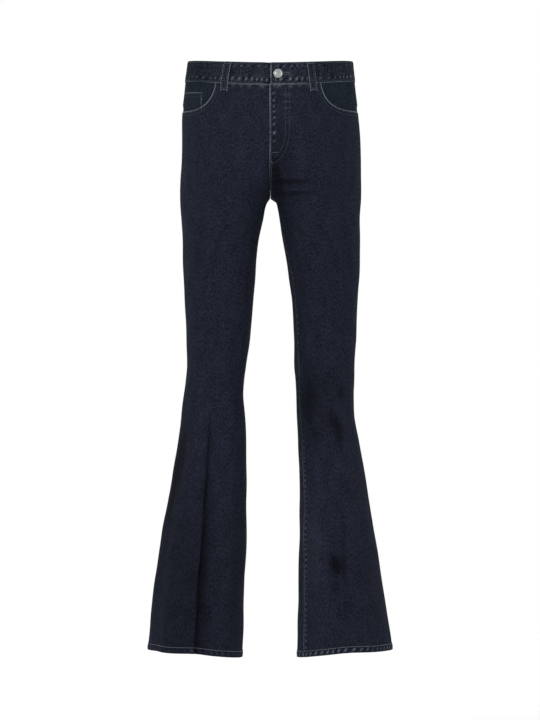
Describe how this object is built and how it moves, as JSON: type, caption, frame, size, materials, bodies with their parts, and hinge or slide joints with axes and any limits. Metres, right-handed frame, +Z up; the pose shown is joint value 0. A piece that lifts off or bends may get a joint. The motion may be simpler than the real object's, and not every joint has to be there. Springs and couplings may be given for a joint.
{
  "type": "flared jeans",
  "caption": "Dark high-waisted five-pocket jeans, close to the knee and flared to a wide hem, filled out as when worn.",
  "frame": {"origin": "middle of the waist opening, level with the waistband's top edge at the sides, where a wearer holds the jeans up", "axes": "+Z up, along the legs towards the waist; +Y from front to back; +X towards the wearer's left"},
  "size_m": [0.4535, 0.2396, 1.0998],
  "materials": {
    "denim": "matte",
    "facing_denim": "matte",
    "button_metal": "satin"
  },
  "bodies": {
    "root": {"front_left": "denim", "front_right": "denim", "back_left": "denim", "back_right": "denim", "yoke_left": "denim", "yoke_right": "denim", "pocket_facing_left": "facing_denim", "pocket_facing_right": "facing_denim", "coin_pocket": "facing_denim", "back_pocket_left": "denim", "back_pocket_right": "denim", "fly_facing": "denim", "waistband": "denim", "belt_loop_front_left": "denim", "belt_loop_front_right": "denim", "belt_loop_back_left": "denim", "belt_loop_back_right": "denim", "belt_loop_centre_back": "denim", "button": "button_metal"}
  },
  "joints": []
}
